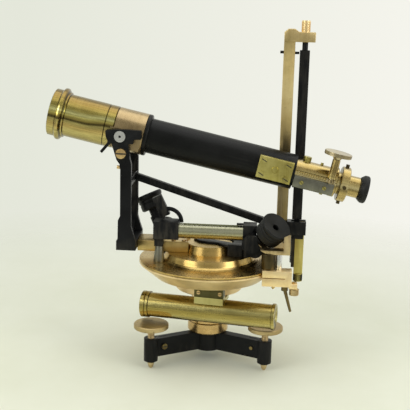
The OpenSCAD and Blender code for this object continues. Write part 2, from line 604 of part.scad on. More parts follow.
// Outer body that the draw tube slides in, with the rear guide for the slider's pin
module focus_body() color(brass) difference() {
    union() {
        on_tube() turned_x([[15.04, main_end + 0.1], [focus_r, main_end + 0.1], [focus_r, 284], [20, 284.4],
            [20, 291], [19.4, 291.6], [15.04, 291.6]]);
        along_telescope() block([main_end + 0.3, 8, -10], [264, 24.9, 10]);
        along_telescope() translate([focus_u, focus_pitch_y - pinion_pitch_r, focus_w + 3.4]) cylinder(r = 5.2, h = 26);
        along_telescope() block([focus_u - 5, focus_pitch_y - 5, focus_w + 3.4], [focus_u + 5, -8, focus_w + 9]);
    }
    on_tube() rotate([0, 90, 0]) cylinder(r = 15.04, h = 900, center = true);
    along_telescope() block([233, 19, -5.7], [261, 30, 5.7]);
    along_telescope() block([main_end - 2, -24, focus_w - 2.4], [293, -12, focus_w + 2.4]);
    along_telescope() translate([focus_u, focus_pitch_y - pinion_pitch_r, -20]) cylinder(r = 2.65, h = 80);
    along_telescope() translate([focus_u, focus_pitch_y - pinion_pitch_r, focus_w - 2.4]) cylinder(r = 6.5, h = 4.8);
}

// Steel plate under the rack's slot
module guide_plate() color("gray") difference() {
    along_telescope() block([main_end + 0.3, -22.4, -11], [288.5, -8, 4.6]);
    on_tube() rotate([0, 90, 0]) cylinder(r = focus_r, h = 900, center = true);
    on_tube() turned_x([[focus_r - 3, 284.1], [20.1, 284.1], [20.1, 292], [focus_r - 3, 292]]);
    along_telescope() block([main_end - 2, -8.1, -20], [300, 20, 10]);
}

module draw_tube() color(brass) difference() {
    union() {
        on_tube() turned_x([[13, 226], [15, 226], [15, 295.6], [22.4, 295.6], [23.5, 296.6], [23.5, 306], [22.4, 307],
            [14.04, 307], [14.04, 297], [13, 297]]);
        along_telescope() block([238, focus_pitch_y + 1.2, focus_w - 2], [293, -12, focus_w + 2]);
        along_telescope() for (k = [-13:3]) translate([focus_u + k * rack_pitch, 0, focus_w - 2])
            linear_extrude(4) polygon([[-0.95, focus_pitch_y + 1.3], [0.95, focus_pitch_y + 1.3],
                [0.3, focus_pitch_y - 0.8], [-0.3, focus_pitch_y - 0.8]]);
    }
    on_tube() rotate([0, 90, 0]) cylinder(r = 13, h = 900, center = true);
}

module capstan_screws() color(brass) on_tube() for (a = [0, 90, 180, 270]) rotate([a, 0, 0])
    translate([301.3, 0, 23.55]) cylinder(r = 2.5, h = 3.75);

module focus_knob() color(bronze) along_telescope() translate([focus_u, focus_pitch_y - pinion_pitch_r, 0]) {
    translate([0, 0, focus_w - 2.2]) rotate([0, 0, 0]) pinion(4.4);
    translate([0, 0, 5]) cylinder(r = 2.6, h = 39);
    translate([0, 0, 43.2]) cylinder(r = 17.9, h = 5);
    translate([0, 0, 38.4]) cylinder(r1 = 4.6, r2 = 7.5, h = 4.9);
}

module eyepiece_tube() color(brass) on_tube() turned_x([[11.4, 300], [14, 300], [14, 313], [14, 322], [13.2, 323],
    [12.6, 323], [12.6, 330], [11.4, 330]]);

module eyecup() color(ebonite) on_tube() turned_x([[12.62, 323.4], [15, 323.4], [17, 326], [18.6, 328.4],
    [18.6, 332.6], [17.4, 334.4], [9, 332.4], [5.4, 331.6], [5.4, 330.2], [12.62, 330.2]]);

tribrach();
flanged_bush();
arm_clamp_screws();
spindle(0);  // spindle_1
spindle(1);  // spindle_2
spindle(2);  // spindle_3
screw_head(0);  // screw_head_1
screw_head(1);  // screw_head_2
screw_head(2);  // screw_head_3
limb_bowl();
limb_axle();
divided_ring();
limb_axle_nut();
watch_saddle();
watch_saddle_screws();
watch_tube();
watch_rings();
watch_lens();
cover_plate();
alidade_axle();
fork_beam();
fork();
bearing_blocks();
brace();
column_beam();
column();
rule_guide();
alidade_screws();
level_carrier();
level_case();
level_vial();
clamp_bracket();
clamp_posts();
clamp_block();
clamp_lever();
tangent_screw();
microscopes();
reading_eyecup(0);  // eyecup_right
reading_eyecup(1);  // eyecup_left
rule();
rule_foot();
rule_rack();
rule_cap();
lift_pinion();
slider();
objective_cell();
objective_lens();
objective_tube();
trunnion_collar();
trunnion_pins();
main_tube();
side_plate();
telescope_screws();
focus_body();
guide_plate();
draw_tube();
capstan_screws();
focus_knob();
eyepiece_tube();
eyecup();
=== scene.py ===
import json
import math

import bmesh
import bpy
from mathutils import Matrix, Vector


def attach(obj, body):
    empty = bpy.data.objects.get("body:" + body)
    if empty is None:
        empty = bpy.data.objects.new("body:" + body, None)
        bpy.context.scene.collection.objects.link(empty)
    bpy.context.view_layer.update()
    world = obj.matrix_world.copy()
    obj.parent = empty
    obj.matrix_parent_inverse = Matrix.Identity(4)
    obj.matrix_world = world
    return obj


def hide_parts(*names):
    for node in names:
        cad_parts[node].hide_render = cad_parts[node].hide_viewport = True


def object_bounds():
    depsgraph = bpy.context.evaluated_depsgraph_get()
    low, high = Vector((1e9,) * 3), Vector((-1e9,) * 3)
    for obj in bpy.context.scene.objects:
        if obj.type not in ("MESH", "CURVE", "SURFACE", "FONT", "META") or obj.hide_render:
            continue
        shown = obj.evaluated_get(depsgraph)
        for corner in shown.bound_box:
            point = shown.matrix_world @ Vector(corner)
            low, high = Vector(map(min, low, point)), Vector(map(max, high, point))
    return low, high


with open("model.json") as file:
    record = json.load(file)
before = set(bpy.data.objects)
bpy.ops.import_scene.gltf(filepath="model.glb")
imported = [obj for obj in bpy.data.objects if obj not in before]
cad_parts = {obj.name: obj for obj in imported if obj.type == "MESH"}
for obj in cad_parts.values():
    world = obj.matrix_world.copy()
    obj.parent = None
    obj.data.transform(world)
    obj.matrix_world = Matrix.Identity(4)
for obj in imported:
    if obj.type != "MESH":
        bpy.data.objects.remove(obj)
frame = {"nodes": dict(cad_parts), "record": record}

cad_box = [[float(c) for c in corner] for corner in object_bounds()]
nodes = frame["nodes"]

# Named places, in metres, from the part's own frame
SLOPE = math.radians(12.16)
TRUNNION = Vector((-0.1196, 0.0, 0.2988))
TUBE_RISE = 0.0045
TUBE_DIR = Vector((math.cos(SLOPE), 0, -math.sin(SLOPE)))
TUBE_UP = Vector((math.sin(SLOPE), 0, math.cos(SLOPE)))
TUBE_ORIGIN = TRUNNION + TUBE_UP * TUBE_RISE
LIMB_TURN = math.radians(-9.5)
WATCH_DIR = Vector((math.cos(LIMB_TURN), math.sin(LIMB_TURN), 0))
WATCH_ORIGIN = Vector((0.046 * math.sin(LIMB_TURN), -0.046 * math.cos(LIMB_TURN), 0.070)) + WATCH_DIR * 0.0096
FOOT_R = 0.089
FOOT_TURNS = (94.4, 214.4, 334.4)
FEET = [Vector((FOOT_R * math.cos(math.radians(a)), FOOT_R * math.sin(math.radians(a)),
                0)) for a in FOOT_TURNS]
RULE = Vector((0.1182, 0.034, 0.0))
LEVEL = Vector((0.0, -0.026, 0.1733))
# the height on the saddle above which its colour is darkened as painted shade
SADDLE_SHADE_FROM = 0.0915
UP = Vector((0, 0, 1))
CENTRE = Vector((0, 0, 0))
MM = 0.001
TUBE_FRAME = Matrix.Translation(TRUNNION) @ Matrix.Rotation(SLOPE, 4, "Y")
LIMB_FRAME = Matrix.Rotation(LIMB_TURN, 4, "Z")


# Finishes

def new_material(name):
    """An empty material with a Principled shader joined to its output"""
    m = bpy.data.materials.new(name)
    m.use_nodes = True
    t = m.node_tree
    t.nodes.clear()
    out = t.nodes.new("ShaderNodeOutputMaterial")
    skin = t.nodes.new("ShaderNodeBsdfPrincipled")
    t.links.new(skin.outputs["BSDF"], out.inputs["Surface"])
    return m, t, skin


def object_place(t):
    return add(t, "ShaderNodeTexCoord").outputs["Object"]


def add(t, kind, **values):
    """A node with its own settings, or else its inputs, given by name"""
    n = t.nodes.new(kind)
    for key, value in values.items():
        if hasattr(n, key):
            setattr(n, key, value)
        else:
            n.inputs[key].default_value = value
    return n


def math_node(t, op, a, b=None, clamp=False):
    """A sum on sockets or numbers"""
    n = t.nodes.new("ShaderNodeMath")
    n.operation = op
    n.use_clamp = clamp
    for i, v in enumerate((a, b)):
        if v is None:
            continue
        if hasattr(v, "links"):
            t.links.new(v, n.inputs[i])
        else:
            n.inputs[i].default_value = v
    return n.outputs[0]


def noise(t, where, scale, detail, rough=0.55, stretch=None):
    """Cloudy noise from 0 to 1, drawn out along an axis where stretch is given"""
    n = add(t, "ShaderNodeTexNoise")
    n.inputs["Scale"].default_value = scale
    n.inputs["Detail"].default_value = detail
    n.inputs["Roughness"].default_value = rough
    if stretch:
        mapping = add(t, "ShaderNodeMapping")
        mapping.inputs["Scale"].default_value = stretch
        t.links.new(where, mapping.inputs["Vector"])
        where = mapping.outputs["Vector"]
    t.links.new(where, n.inputs["Vector"])
    return n.outputs["Fac"]


def ramp(t, fac, stops):
    """A colour ramp through stops of place and colour"""
    n = t.nodes.new("ShaderNodeValToRGB")
    band = n.color_ramp
    while len(band.elements) < len(stops):
        band.elements.new(0.5)
    for stop, (place, colour) in zip(band.elements, stops):
        stop.position = place
        stop.color = (*colour, 1)
    t.links.new(fac, n.inputs["Fac"])
    return n.outputs["Color"]


def grey(t, fac, low, high, start=0.3, end=0.7):
    """Turns the span from start to end into the span from low to high"""
    n = t.nodes.new("ShaderNodeMapRange")
    t.links.new(fac, n.inputs["Value"])
    for key, value in (("From Min", start), ("From Max", end), ("To Min", low), ("To Max", high)):
        n.inputs[key].default_value = value
    return n.outputs["Result"]


def blend_colour(t, fac, a, b, mode="MIX"):
    """Mixes two colours, each a socket or plain values"""
    n = t.nodes.new("ShaderNodeMix")
    n.data_type = "RGBA"
    n.blend_type = mode
    for socket, v in ((n.inputs["Factor"], fac), (n.inputs["A"], a), (n.inputs["B"], b)):
        if hasattr(v, "links"):
            t.links.new(v, socket)
        elif isinstance(v, (int, float)):
            socket.default_value = v
        else:
            socket.default_value = (*v, 1)
    return n.outputs["Result"]


def turned_place(t, origin, axis):
    """Coordinates of a turned piece: reach from its axis, place along it, share of the way from top to bottom"""
    where = object_place(t)
    off = add(t, "ShaderNodeVectorMath", operation="SUBTRACT")
    t.links.new(where, off.inputs[0])
    off.inputs[1].default_value = origin

    def share(direction):
        n = add(t, "ShaderNodeVectorMath", operation="DOT_PRODUCT")
        t.links.new(off.outputs["Vector"], n.inputs[0])
        n.inputs[1].default_value = direction
        return n.outputs["Value"]

    top = UP if abs(axis.z) < 0.9 else Vector((1, 0, 0))
    top = (top - axis * top.dot(axis)).normalized()
    side = top.cross(axis)
    along = share(axis)
    up, out = share(top), share(side)
    squares = math_node(t, "ADD", math_node(t, "MULTIPLY", up, up), math_node(t, "MULTIPLY", out, out))
    reach = math_node(t, "SQRT", squares)
    round_it = math_node(t, "DIVIDE", math_node(t, "ARCTAN2", out, up), math.pi)
    both = add(t, "ShaderNodeCombineXYZ")
    t.links.new(reach, both.inputs["X"])
    t.links.new(along, both.inputs["Y"])
    return where, both.outputs["Vector"], along, math_node(t, "ABSOLUTE", round_it)


def bump(t, skin, height, strength, distance, below=None):
    """Relief on the skin, laid over an earlier relief where one is given"""
    n = add(t, "ShaderNodeBump")
    n.inputs["Strength"].default_value = strength
    n.inputs["Distance"].default_value = distance
    t.links.new(height, n.inputs["Height"])
    if below:
        t.links.new(below, n.inputs["Normal"])
    t.links.new(n.outputs["Normal"], skin.inputs["Normal"])
    return n.outputs["Normal"]


GROOVE_DARK = (0.03, 0.02, 0.006)
ENAMEL_SCRATCH = (0.045, 0.047, 0.048)
ENAMEL_RUB = (0.10, 0.09, 0.07)
BLACK, WHITE = (0, 0, 0), (1, 1, 1)


def brass(name, dark, mid, light, rough, origin=None, axis=UP, spots=0.5, lines=0.12, coat=0.2, painted_light_bands=None,
          grooves=(), spin=0.0, turning=900, metal=1.0, shade=None):
    """Lacquered brass: tarnish clouds, age spots, tool lines, long stripes of painted reflection and painted
    shade, dark rings at the grooves and, where given, painted shade by height
    """
    m, t, skin = new_material(name)
    skin.inputs["Metallic"].default_value = metal
    skin.inputs["Coat Weight"].default_value = coat
    skin.inputs["Coat Roughness"].default_value = 0.18
    along = turn = None
    if origin is None:
        where = object_place(t)
        tool = noise(t, where, scale=260, detail=2, rough=0.5, stretch=(1, 1, 0.05))
    else:
        where, place, along, turn = turned_place(t, origin, axis)
        tool = noise(t, place, scale=turning, detail=2, rough=0.6)
    cloud = noise(t, where, scale=24, detail=5, rough=0.6)
    fine = noise(t, where, scale=210, detail=4, rough=0.62)
    colour = ramp(t, cloud, [(0.30, dark), (0.5, mid), (0.72, light)])
    # painted reflections and painted shade: stripes of light and dark laid round the piece by its share from top
    # to bottom, as the given stops say
    if painted_light_bands:
        sway = grey(t, noise(t, where, scale=16, detail=1, rough=0.4), low=-0.022, high=0.022)
        drift = math_node(t, "ADD", turn, sway)
        colour = blend_colour(t, 0.86, colour, ramp(t, drift, painted_light_bands))
        streak = add(t, "ShaderNodeCombineXYZ")
        t.links.new(turn, streak.inputs["X"])
        t.links.new(math_node(t, "MULTIPLY", along, 0.6), streak.inputs["Y"])
        wipe = noise(t, streak.outputs["Vector"], scale=46, detail=4, rough=0.65)
        colour = blend_colour(t, grey(t, wipe, low=0, high=0.55, start=0.42, end=0.7), colour,
                              [c * 0.55 for c in dark])
    speck = ramp(t, fine, [(0.60, BLACK), (0.74, WHITE)])
    colour = blend_colour(t, math_node(t, "MULTIPLY", speck, 0.45 * spots), colour, [c * 0.42 for c in dark])
    bright_lines = grey(t, tool, low=0, high=1, start=0.35, end=0.65)
    colour = blend_colour(t, math_node(t, "MULTIPLY", bright_lines, 0.14 if painted_light_bands else 0.28), colour, light)
    # a narrow dark ring at each groove, broken up by fine noise
    for centre, half in grooves:
        near = math_node(t, "COMPARE", along, centre)
        near.node.inputs[2].default_value = half
        groove_dark_mask = math_node(t, "MULTIPLY", near, grey(t, fine, low=0.5, high=0.95))
        colour = blend_colour(t, groove_dark_mask, colour, GROOVE_DARK)
    # painted shade by height: the colour is multiplied by a grey ramp over the piece's height
    if shade:
        low, high, steps = shade
        height = add(t, "ShaderNodeSeparateXYZ")
        t.links.new(where, height.inputs[0])
        shade_by_height = ramp(t, grey(t, height.outputs["Z"], low=0, high=1, start=low, end=high),
                    [(at_share, (v, v, v)) for at_share, v in steps])
        colour = blend_colour(t, 1.0, colour, shade_by_height, "MULTIPLY")
    t.links.new(colour, skin.inputs["Base Color"])
    worn = math_node(t, "ADD", grey(t, cloud, low=rough - 0.05, high=rough + 0.09),
                     grey(t, fine, low=-0.03, high=0.05))
    t.links.new(worn, skin.inputs["Roughness"])
    if spin:
        skin.inputs["Anisotropic"].default_value = spin
        skin.inputs["Anisotropic Rotation"].default_value = 0.25
        tangent = add(t, "ShaderNodeTangent", direction_type="RADIAL", axis="Z")
        t.links.new(tangent.outputs["Tangent"], skin.inputs["Tangent"])
    first = bump(t, skin, tool, strength=lines, distance=0.00004)
    bump(t, skin, fine, strength=0.05, distance=0.0001, below=first)
    return m


def black_enamel(name, base=(0.0035, 0.0038, 0.0040), rough=0.34, wear=0.4, shine=0.12):
    """Stoved black enamel: orange peel, scratches and rubbed brown edges"""
    m, t, skin = new_material(name)
    where = object_place(t)
    cloud = noise(t, where, scale=18, detail=4, rough=0.6)
    peel = noise(t, where, scale=520, detail=2, rough=0.5)
    scratch = noise(t, where, scale=150, detail=5, rough=0.7, stretch=(1, 1, 0.18))
    colour = ramp(t, cloud, [(0.3, base), (0.7, [c * 1.9 + 0.003 for c in base])])
    marks = ramp(t, scratch, [(0.66, BLACK), (0.72, WHITE)])
    colour = blend_colour(t, math_node(t, "MULTIPLY", marks, 0.20 * wear), colour, ENAMEL_SCRATCH)
    edge = grey(t, add(t, "ShaderNodeNewGeometry").outputs["Pointiness"], low=0, high=1, start=0.53, end=0.62)
    rub = math_node(t, "MULTIPLY", edge, grey(t, scratch, low=0, high=1, start=0.42, end=0.60), True)
    colour = blend_colour(t, math_node(t, "MULTIPLY", rub, 0.7 * wear), colour, ENAMEL_RUB)
    t.links.new(colour, skin.inputs["Base Color"])
    t.links.new(grey(t, cloud, low=rough - 0.06, high=rough + 0.1), skin.inputs["Roughness"])
    skin.inputs["Specular IOR Level"].default_value = shine
    bump(t, skin, peel, strength=0.12, distance=0.00005)
    return m


def hard_rubber(name):
    """Dull black rubber with a fine grain"""
    m, t, skin = new_material(name)
    where = object_place(t)
    cloud = noise(t, where, scale=40, detail=5, rough=0.6)
    fine = noise(t, where, scale=700, detail=3, rough=0.6)
    t.links.new(ramp(t, cloud, [(0.3, (0.006, 0.0065, 0.006)), (0.7, (0.014, 0.0145, 0.013))]),
                skin.inputs["Base Color"])
    t.links.new(grey(t, cloud, low=0.38, high=0.52), skin.inputs["Roughness"])
    skin.inputs["Specular IOR Level"].default_value = 0.22
    bump(t, skin, fine, strength=0.15, distance=0.00005)
    return m


def steel(name, dark, light, rough, origin=None, axis=UP):
    """Polished steel with the lines of the tool that cut it"""
    m, t, skin = new_material(name)
    skin.inputs["Metallic"].default_value = 1.0
    if origin is None:
        where = object_place(t)
        tool = noise(t, where, scale=380, detail=3, rough=0.6, stretch=(0.12, 1, 1))
    else:
        where, place, _, _ = turned_place(t, origin, axis)
        tool = noise(t, place, scale=1200, detail=2, rough=0.6)
    cloud = noise(t, where, scale=60, detail=4, rough=0.6)
    colour = ramp(t, cloud, [(0.3, dark), (0.7, light)])
    colour = blend_colour(t, math_node(t, "MULTIPLY", tool, 0.25), colour, [c * 0.6 for c in dark])
    t.links.new(colour, skin.inputs["Base Color"])
    t.links.new(grey(t, tool, low=rough - 0.05, high=rough + 0.1), skin.inputs["Roughness"])
    bump(t, skin, tool, strength=0.25, distance=0.00003)
    return m


def clear_glass(name, tint, rough=0.03, clear=0.85):
    """Glass with a little dust on it"""
    m, t, skin = new_material(name)
    where = object_place(t)
    dust = noise(t, where, scale=320, detail=4, rough=0.6)
    t.links.new(ramp(t, dust, [(0.4, tint), (0.8, [c * 0.92 for c in tint])]), skin.inputs["Base Color"])
    t.links.new(grey(t, dust, low=rough, high=rough + 0.08), skin.inputs["Roughness"])
    skin.inputs["Transmission Weight"].default_value = clear
    skin.inputs["IOR"].default_value = 1.5
    return m


def painted_shade_filling(name):
    """Painted shade: the dark at the bottom of slots and holes"""
    m, t, skin = new_material(name)
    colour = (0.008, 0.008, 0.008)
    where = object_place(t)
    fine = noise(t, where, scale=400, detail=3)
    t.links.new(ramp(t, fine, [(0.3, colour), (0.7, [c * 2.2 for c in colour])]), skin.inputs["Base Color"])
    t.links.new(grey(t, fine, low=0.5, high=0.7), skin.inputs["Roughness"])
    return m


OLIVE = ((0.15, 0.11, 0.028), (0.32, 0.245, 0.065), (0.48, 0.38, 0.13))
GOLD = ((0.36, 0.215, 0.075), (0.60, 0.40, 0.165), (0.80, 0.60, 0.30))
PALE = ((0.46, 0.34, 0.16), (0.66, 0.51, 0.28), (0.82, 0.69, 0.44))
ROSE = ((0.22, 0.15, 0.07), (0.37, 0.27, 0.135), (0.52, 0.40, 0.22))
SALLOW = ((0.26, 0.21, 0.05), (0.44, 0.38, 0.10), (0.66, 0.59, 0.22))

# Painted reflections and painted shade: light and dark stripes that run along the turned tubes, from their top
# to their bottom, darkest at the bottom
FRONT_PAINTED_LIGHT = [(0.00, (0.21, 0.155, 0.05)), (0.08, (0.225, 0.14, 0.034)), (0.20, (0.26, 0.165, 0.038)),
               (0.27, (0.28, 0.21, 0.045)), (0.33, (0.44, 0.37, 0.09)), (0.385, (0.95, 0.92, 0.40)),
               (0.425, (0.74, 0.65, 0.18)), (0.462, (0.36, 0.27, 0.06)), (0.476, (0.05, 0.04, 0.01)),
               (0.492, (0.06, 0.045, 0.011)), (0.510, (0.62, 0.53, 0.19)), (0.58, (0.60, 0.43, 0.15)),
               (0.68, (0.68, 0.58, 0.23)), (0.78, (0.46, 0.37, 0.12)), (0.93, (0.12, 0.09, 0.02))]
WATCH_PAINTED_LIGHT = [(0.00, (0.36, 0.30, 0.11)), (0.10, (0.34, 0.27, 0.08)), (0.20, (0.27, 0.20, 0.055)),
               (0.29, (0.36, 0.29, 0.085)), (0.35, (0.56, 0.50, 0.20)), (0.43, (0.50, 0.41, 0.13)),
               (0.50, (0.34, 0.265, 0.065)), (0.60, (0.58, 0.47, 0.14)), (0.68, (0.82, 0.72, 0.29)),
               (0.77, (0.36, 0.28, 0.07)), (0.90, (0.06, 0.045, 0.01))]
EYE_PAINTED_LIGHT = [(0.00, (0.24, 0.17, 0.055)), (0.12, (0.56, 0.46, 0.24)), (0.20, (0.42, 0.31, 0.10)),
             (0.32, (0.24, 0.165, 0.045)), (0.40, (0.68, 0.55, 0.22)), (0.495, (0.95, 0.82, 0.42)),
             (0.545, (0.13, 0.09, 0.03)), (0.575, (0.15, 0.105, 0.035)), (0.62, (0.42, 0.31, 0.11)),
             (0.78, (0.74, 0.56, 0.24)), (0.95, (0.14, 0.08, 0.02))]
LEVEL_PAINTED_LIGHT = [(0.00, (0.50, 0.50, 0.38)), (0.12, (0.56, 0.56, 0.43)), (0.20, (0.32, 0.32, 0.20)),
               (0.31, (0.32, 0.32, 0.20)), (0.38, (0.54, 0.54, 0.37)), (0.48, (0.38, 0.37, 0.21)),
               (0.60, (0.50, 0.47, 0.25)), (0.70, (0.42, 0.36, 0.16)), (0.80, (0.24, 0.16, 0.05)),
               (0.92, (0.07, 0.045, 0.012))]
# Grooves: place along the tube and half width
FRONT_GROOVES = [(-0.0241, 0.0006), (-0.0122, 0.0006), (-0.0897, 0.0008), (-0.0818, 0.0010),
                 (-0.0786, 0.0006), (-0.1003, 0.0008)]

olive_tube = brass("olive brass, telescope", *OLIVE, rough=0.20, origin=TUBE_ORIGIN, axis=TUBE_DIR,
                   painted_light_bands=FRONT_PAINTED_LIGHT, grooves=FRONT_GROOVES, lines=0.05)
olive_watch = brass("olive brass, lower telescope", *OLIVE, rough=0.22, origin=WATCH_ORIGIN, axis=WATCH_DIR,
                    painted_light_bands=WATCH_PAINTED_LIGHT, lines=0.05, spots=0.25,
                    grooves=[(-0.0841, 0.0005), (-0.0798, 0.0005), (0.0881, 0.0005)])
# painted shade: the saddle is lighter in a thin strip at its bottom and darkened above it
olive_flat = brass("olive brass, saddle", dark=(0.40, 0.34, 0.12), mid=(0.60, 0.53, 0.21),
                   light=(0.74, 0.67, 0.30), rough=0.32, coat=0.0,
                   shade=(SADDLE_SHADE_FROM - 0.001, SADDLE_SHADE_FROM + 0.012,
                          [(0, 0.75), (0.07, 1.0), (0.1, 0.12), (1, 0.22)]))
olive_knob = brass("olive brass, knob", dark=(0.06, 0.05, 0.015), mid=(0.12, 0.10, 0.032),
                   light=(0.21, 0.18, 0.065), rough=0.34)
gold_plate = brass("gold brass, cover plate", dark=(0.30, 0.20, 0.06), mid=(0.50, 0.35, 0.115),
                   light=(0.72, 0.52, 0.20), rough=0.25, origin=CENTRE, axis=UP,
                   lines=0.10, spin=0.8, turning=300, spots=0.2, coat=0.05)
gold_bowl = brass("pale gold brass, circle", dark=(0.60, 0.43, 0.19), mid=(0.80, 0.60, 0.29),
                  light=(0.94, 0.76, 0.43), rough=0.36, origin=CENTRE, axis=UP,
                  lines=0.12, spin=0.5, turning=260, metal=0.62)
gold_collar = brass("gold brass, collar", *GOLD, rough=0.24, origin=CENTRE, axis=UP,
                    grooves=[(0.0412, 0.0004)])
gold_tube = brass("gold brass, eye end", dark=(0.37, 0.25, 0.08), mid=(0.62, 0.46, 0.18),
                  light=(0.84, 0.68, 0.33), rough=0.22, origin=TUBE_ORIGIN, axis=TUBE_DIR, painted_light_bands=EYE_PAINTED_LIGHT,
                  grooves=[(0.2842, 0.0004), (0.2958, 0.0004)])
gold_flat = brass("gold brass, filed", *GOLD, rough=0.32)
gold_beam = brass("gold brass, beam", dark=(0.30, 0.20, 0.06), mid=(0.50, 0.36, 0.13),
                  light=(0.70, 0.52, 0.22), rough=0.32, coat=0.05)
# painted shade: the column is darkened towards its bottom and brightest near its top
tan_flat = brass("tan brass, column", dark=(0.56, 0.42, 0.18), mid=(0.80, 0.61, 0.28),
                 light=(0.98, 0.80, 0.43), rough=0.36, coat=0.03,
                 shade=(0.16, 0.425, [(0, 0.28), (0.3, 0.42), (0.6, 0.74), (0.9, 1.0), (1.0, 0.8)]))
yellow_flat = brass("yellow brass, foot of the rule", dark=(0.32, 0.26, 0.06), mid=(0.54, 0.45, 0.12),
                    light=(0.72, 0.62, 0.22), rough=0.36)
dark_brass = brass("dark brass, lever", dark=(0.08, 0.055, 0.018), mid=(0.155, 0.115, 0.042),
                   light=(0.28, 0.215, 0.09), rough=0.38)
pale_flat = brass("pale brass, clamp", dark=(0.62, 0.44, 0.19), mid=(0.94, 0.71, 0.36),
                  light=(1.0, 0.84, 0.50), rough=0.32, metal=0.85)
cheek_flat = brass("pale brass, bracket", dark=(0.34, 0.24, 0.11), mid=(0.62, 0.47, 0.24),
                   light=(0.88, 0.72, 0.44), rough=0.32)
sallow_flat = brass("yellow brass, side plate", *SALLOW, rough=0.34)
rose_tube = brass("rose brass, trunnion collar", *ROSE, rough=0.26, origin=TUBE_ORIGIN, axis=TUBE_DIR)
pale_disc = brass("pale brass, focusing disc", dark=(0.26, 0.20, 0.11), mid=(0.46, 0.38, 0.22),
                  light=(0.66, 0.58, 0.38), rough=0.28)
bronze_flat = brass("bronze, filed", dark=(0.03, 0.022, 0.008), mid=(0.06, 0.045, 0.018),
                    light=(0.12, 0.09, 0.04), rough=0.36)
bronze_heads = [brass("bronze, levelling head %d" % (i + 1), dark=(0.24, 0.165, 0.07),
                      mid=(0.44, 0.33, 0.155), light=(0.62, 0.49, 0.26), rough=0.42, origin=p, axis=UP,
                      spots=1.6, coat=0.05, lines=0.06)
                for i, p in enumerate(FEET)]
gold_feet = [brass("brass, spindle %d" % (i + 1), *PALE, rough=0.33, origin=p, axis=UP)
             for i, p in enumerate(FEET)]
level_brass = brass("silvery brass, level case", dark=(0.40, 0.37, 0.24), mid=(0.60, 0.58, 0.44),
                    light=(0.76, 0.75, 0.62), rough=0.24, origin=LEVEL, axis=Vector((1, 0, 0)),
                    painted_light_bands=LEVEL_PAINTED_LIGHT, lines=0.02, spots=0.1)
enamel = black_enamel("black enamel")
enamel_tube = black_enamel("black enamel, main tube", base=(0.0026, 0.0028, 0.0026), rough=0.32, wear=0.2,
                           shine=0.15)
ebonite = hard_rubber("black hard rubber")
bright_steel = steel("bright steel", dark=(0.62, 0.62, 0.60), light=(0.88, 0.88, 0.86), rough=0.30)
grey_steel = steel("grey steel", dark=(0.14, 0.138, 0.108), light=(0.30, 0.296, 0.235), rough=0.38)
dark_steel = steel("dark steel", dark=(0.028, 0.025, 0.02), light=(0.07, 0.062, 0.048), rough=0.40)
silvered = steel("silvered ring", dark=(0.66, 0.65, 0.60), light=(0.82, 0.81, 0.77), rough=0.35,
                 origin=CENTRE, axis=UP)
lens_glass = clear_glass("lens glass", (0.86, 0.93, 0.90))
vial_glass = clear_glass("vial glass", (0.50, 0.54, 0.38), rough=0.10, clear=0.15)
slot_shade = painted_shade_filling("painted shade, slots and holes")

FINISH = {
    "tribrach": enamel, "flanged_bush": gold_collar, "arm_clamp_screws": dark_brass,
    "limb_bowl": gold_bowl, "limb_axle": gold_bowl, "divided_ring": silvered,
    "limb_axle_nut": bright_steel, "watch_saddle": olive_flat, "watch_saddle_screws": gold_flat,
    "watch_tube": olive_watch, "watch_rings": olive_watch, "watch_lens": lens_glass,
    "cover_plate": gold_plate, "alidade_axle": bright_steel, "fork_beam": gold_beam, "fork": enamel,
    "bearing_blocks": enamel, "brace": enamel, "column_beam": enamel, "column": tan_flat,
    "rule_guide": enamel, "alidade_screws": gold_flat, "level_carrier": enamel,
    "level_case": level_brass, "level_vial": vial_glass, "clamp_bracket": cheek_flat,
    "clamp_posts": bronze_flat, "clamp_block": pale_flat, "clamp_lever": dark_brass,
    "tangent_screw": cheek_flat, "microscopes": enamel, "eyecup_right": ebonite,
    "eyecup_left": ebonite, "rule": enamel, "rule_foot": yellow_flat, "rule_rack": dark_steel,
    "rule_cap": pale_flat, "lift_pinion": olive_knob, "slider": dark_steel,
    "objective_cell": olive_tube, "objective_lens": lens_glass, "objective_tube": olive_tube,
    "trunnion_collar": rose_tube, "trunnion_pins": bright_steel, "main_tube": enamel_tube,
    "side_plate": sallow_flat, "telescope_screws": sallow_flat, "focus_body": gold_tube,
    "guide_plate": grey_steel, "draw_tube": gold_tube, "capstan_screws": bronze_flat,
    "focus_knob": pale_disc, "eyepiece_tube": gold_tube, "eyecup": ebonite,
}
for i in range(3):
    FINISH["spindle_%d" % (i + 1)] = gold_feet[i]
    FINISH["screw_head_%d" % (i + 1)] = bronze_heads[i]

for name, obj in nodes.items():
    obj.data.materials.clear()
    obj.data.materials.append(FINISH[name])

BODY = {n: b for b, names in frame["record"]["behaviour"]["bodies"].items() for n in names}


# Softened copies: merged, planar faces joined, edges broken with a small round

MERGE_WITHIN = 2e-6
FLAT_WITHIN = math.radians(1.0)
BROKEN_FROM = math.radians(32)
SHARP_FROM = math.radians(38)


